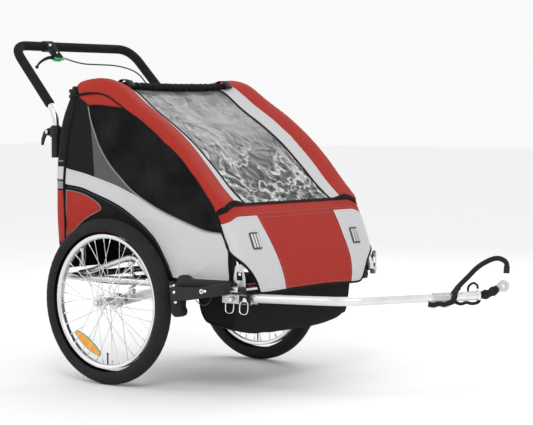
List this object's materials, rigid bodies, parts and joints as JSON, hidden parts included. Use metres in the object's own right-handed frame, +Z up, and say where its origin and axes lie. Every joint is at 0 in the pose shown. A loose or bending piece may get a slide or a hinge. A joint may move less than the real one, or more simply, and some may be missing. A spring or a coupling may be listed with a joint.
{
  "type": "child bicycle trailer",
  "caption": "Two-wheeled fabric trailer for children: folding tube frame, sprung wheel arms, push handle with brake lever, bent tow bar with flex hitch.",
  "frame": {"origin": "on the ground under the middle of the object's bounding box, on the centre plane of the two wheels", "axes": "+X forward to the bicycle, +Y to the trailer's left, +Z up"},
  "size_m": [1.693, 0.821, 1.049],
  "materials": {
    "tyre": "matte",
    "silver_tube": "satin",
    "chrome": "polished",
    "steel": "satin",
    "amber": "gloss",
    "black_plastic": "satin",
    "cable": "satin",
    "foam": "matte",
    "rubber": "matte",
    "red_fabric": "woven",
    "grey_fabric": "woven",
    "black_fabric": "woven",
    "seat_fabric": "woven",
    "webbing": "woven",
    "clear_vinyl": "clear"
  },
  "bodies": {
    "chassis": {"side_rail_right": "silver_tube", "side_rail_left": "silver_tube", "rear_crossbar": "silver_tube", "pivot_crossbar": "silver_tube", "front_crossbar": "silver_tube", "suspension_hoop_right": "silver_tube", "suspension_hoop_left": "silver_tube", "suspension_spring_right": "chrome", "suspension_spring_left": "chrome", "side_guard_right": "black_plastic", "side_guard_left": "black_plastic", "corner_bracket_right": "steel", "corner_bracket_left": "steel", "side_panel_right": "grey_fabric", "side_panel_left": "grey_fabric", "rear_panel": "black_fabric", "floor_tub": "black_fabric", "seat_cushion": "seat_fabric", "seat_back": "seat_fabric", "harness_right": "webbing", "harness_left": "webbing", "tow_socket": "steel", "brake_cable_lower": "cable"},
    "rear_frame": {"rear_upright_right": "silver_tube", "rear_upright_left": "silver_tube", "rear_top_crossbar": "silver_tube"},
    "roof_frame": {"roof_tube_right": "silver_tube", "roof_tube_left": "silver_tube", "roof_cover": "red_fabric"},
    "front_cover": {"window_pane": "clear_vinyl", "front_panel": "red_fabric"},
    "handle_sockets": {"handle_socket_right": "black_plastic", "handle_socket_left": "black_plastic"},
    "push_handle": {"handle_tube": "silver_tube", "handle_foam": "foam", "brake_lever_mount": "black_plastic", "brake_cable_upper": "cable"},
    "brake_lever": {"brake_lever": "black_plastic"},
    "clamp_lever_right": {"clamp_lever_right": "black_plastic"},
    "clamp_lever_left": {"clamp_lever_left": "black_plastic"},
    "corner_knob_right": {"corner_knob_right": "black_plastic"},
    "corner_knob_left": {"corner_knob_left": "black_plastic"},
    "trailing_arm_right": {"trailing_arm_right": "steel"},
    "trailing_arm_left": {"trailing_arm_left": "steel"},
    "wheel_right": {"tyre_right": "tyre", "rim_right": "silver_tube", "hub_spokes_right": "chrome", "wheel_reflector_right": "amber"},
    "wheel_left": {"tyre_left": "tyre", "rim_left": "silver_tube", "hub_spokes_left": "chrome", "wheel_reflector_left": "amber"},
    "tow_bar": {"tow_bar": "silver_tube", "tow_coupler": "steel", "safety_strap": "webbing"},
    "pivot_pin": {"pivot_pin": "chrome"},
    "lock_pin": {"lock_pin": "chrome"},
    "flex_joint": {"flex_joint": "rubber"},
    "axle_plate": {"axle_plate": "steel"},
    "hook_pin": {"hook_pin": "black_plastic"}
  },
  "joints": [
    {"name": "fold", "type": "hinge", "parent": "chassis", "child": "rear_frame", "pos_m": [-0.5335, 0, 0.345], "axis": [0, 1, 0], "range_deg": [0, 85], "deforming": ["side_panel_right", "side_panel_left", "rear_panel", "roof_cover", "window_pane", "front_panel", "seat_back", "harness_right", "harness_left", "brake_cable_lower", "brake_cable_upper"]},
    {"name": "roof_fold", "type": "hinge", "parent": "chassis", "child": "roof_frame", "pos_m": [0.1545, 0, 0.33], "axis": [0, -1, 0], "range_deg": [0, 34]},
    {"name": "handle_tuck", "type": "hinge", "parent": "rear_frame", "child": "handle_sockets", "pos_m": [-0.6215, 0, 0.69], "axis": [0, -1, 0], "range_deg": [0, 143]},
    {"name": "handle_height", "type": "slide", "parent": "handle_sockets", "child": "push_handle", "axis": [0, 0, 1], "range_m": [0, 0.06]},
    {"name": "clamp_right_open", "type": "hinge", "parent": "handle_sockets", "child": "clamp_lever_right", "pos_m": [-0.6465, -0.286, 0.756], "axis": [0, 1, 0], "range_deg": [0, 100]},
    {"name": "clamp_left_open", "type": "hinge", "parent": "handle_sockets", "child": "clamp_lever_left", "pos_m": [-0.6465, 0.286, 0.756], "axis": [0, 1, 0], "range_deg": [0, 100]},
    {"name": "brake_squeeze", "type": "hinge", "parent": "push_handle", "child": "brake_lever", "pos_m": [-0.8275, -0.096, 1], "axis": [-1, 0, 0], "range_deg": [0, 22], "stiffness_Nm_per_rad": 1.2, "springref_deg": -8.59},
    {"name": "knob_right_turn", "type": "hinge", "parent": "rear_frame", "child": "corner_knob_right", "pos_m": [-0.5365, -0.283, 0.874], "axis": [1, 0, 0], "range_deg": [0, 90]},
    {"name": "knob_left_turn", "type": "hinge", "parent": "rear_frame", "child": "corner_knob_left", "pos_m": [-0.5365, 0.283, 0.874], "axis": [1, 0, 0], "range_deg": [0, 90]},
    {"name": "suspension_right", "type": "hinge", "parent": "chassis", "child": "trailing_arm_right", "pos_m": [-0.2035, -0.287, 0.282], "axis": [0, 1, 0], "range_deg": [0, 9], "stiffness_Nm_per_rad": 200, "springref_deg": -6.88, "deforming": ["suspension_spring_right"]},
    {"name": "suspension_left", "type": "hinge", "parent": "chassis", "child": "trailing_arm_left", "pos_m": [-0.2035, 0.287, 0.282], "axis": [0, 1, 0], "range_deg": [0, 9], "stiffness_Nm_per_rad": 200, "springref_deg": -6.88, "deforming": ["suspension_spring_left"]},
    {"name": "wheel_right_spin", "type": "hinge", "parent": "trailing_arm_right", "child": "wheel_right", "pos_m": [-0.3335, -0.3585, 0.25], "axis": [0, 1, 0], "continuous": true},
    {"name": "wheel_left_spin", "type": "hinge", "parent": "trailing_arm_left", "child": "wheel_left", "pos_m": [-0.3335, 0.3585, 0.25], "axis": [0, 1, 0], "continuous": true},
    {"name": "front_cover_open", "type": "hinge", "parent": "roof_frame", "child": "front_cover", "pos_m": [-0.2935, 0, 0.884], "axis": [0, -1, 0], "range_deg": [0, 75]},
    {"name": "tow_bar_lift", "type": "hinge", "parent": "chassis", "child": "tow_bar", "pos_m": [0.1965, -0.33, 0.2885], "axis": [0, -1, 0], "range_deg": [0, 80]},
    {"name": "pivot_pin_pull", "type": "slide", "parent": "chassis", "child": "pivot_pin", "axis": [0, -1, 0], "range_m": [0, 0.045]},
    {"name": "lock_pin_pull", "type": "slide", "parent": "chassis", "child": "lock_pin", "axis": [0, -1, 0], "range_m": [0, 0.045]},
    {"name": "hitch_flex", "type": "hinge", "parent": "tow_bar", "child": "flex_joint", "pos_m": [0.7785, -0.003, 0.315], "axis": [0, 0, 1], "range_deg": [-35, 35], "stiffness_Nm_per_rad": 12, "deforming": ["safety_strap", "flex_joint"]},
    {"name": "axle_plate_tilt", "type": "hinge", "parent": "flex_joint", "child": "axle_plate", "pos_m": [0.8102, -0.0025, 0.3325], "axis": [0, 1, 0], "range_deg": [-20, 20], "stiffness_Nm_per_rad": 6, "deforming": ["flex_joint"]},
    {"name": "hook_pin_pull", "type": "slide", "parent": "tow_bar", "child": "hook_pin", "axis": [0, 0, 1], "range_m": [0, 0.016]}
  ],
  "couplings": [
    {"joint": "roof_fold", "follows": "fold", "ratio": 0.4},
    {"joint": "handle_tuck", "follows": "fold", "ratio": 1.6824}
  ]
}
